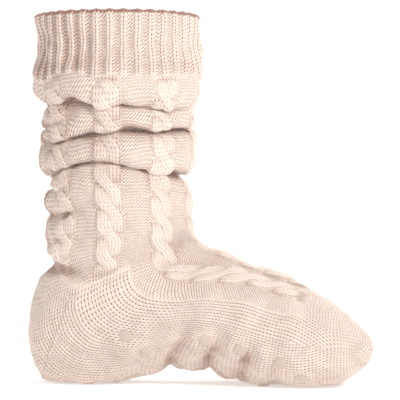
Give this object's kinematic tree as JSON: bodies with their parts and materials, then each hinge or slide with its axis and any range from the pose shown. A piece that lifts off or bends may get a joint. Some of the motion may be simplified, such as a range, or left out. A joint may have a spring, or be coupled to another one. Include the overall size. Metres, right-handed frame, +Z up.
{
  "type": "slipper sock",
  "caption": "Slouch slipper sock: ribbed cuff, cabled leg and instep, plain short-row heel and sole, and round grip dots under the foot.",
  "frame": {"origin": "middle of the sock's footprint, on the floor it stands on", "axes": "+Z up out of the collar, +X towards the toe, -Y the inner side of the foot"},
  "size_m": [0.2448, 0.1088, 0.258],
  "materials": {
    "knit": "soft brushed yarn, matte",
    "grip": "soft translucent silicone, low sheen"
  },
  "bodies": {
    "root": {"knit_body": "knit", "grip_dot_01": "grip", "grip_dot_02": "grip", "grip_dot_03": "grip", "grip_dot_04": "grip", "grip_dot_05": "grip", "grip_dot_06": "grip", "grip_dot_07": "grip", "grip_dot_08": "grip", "grip_dot_09": "grip", "grip_dot_10": "grip", "grip_dot_11": "grip", "grip_dot_12": "grip", "grip_dot_13": "grip", "grip_dot_14": "grip", "grip_dot_15": "grip", "grip_dot_16": "grip", "grip_dot_17": "grip", "grip_dot_18": "grip", "grip_dot_19": "grip", "grip_dot_20": "grip", "grip_dot_21": "grip", "grip_dot_22": "grip", "grip_dot_23": "grip", "grip_dot_24": "grip", "grip_dot_25": "grip", "grip_dot_26": "grip", "grip_dot_27": "grip", "grip_dot_28": "grip", "grip_dot_29": "grip", "grip_dot_30": "grip", "grip_dot_31": "grip"}
  },
  "joints": []
}
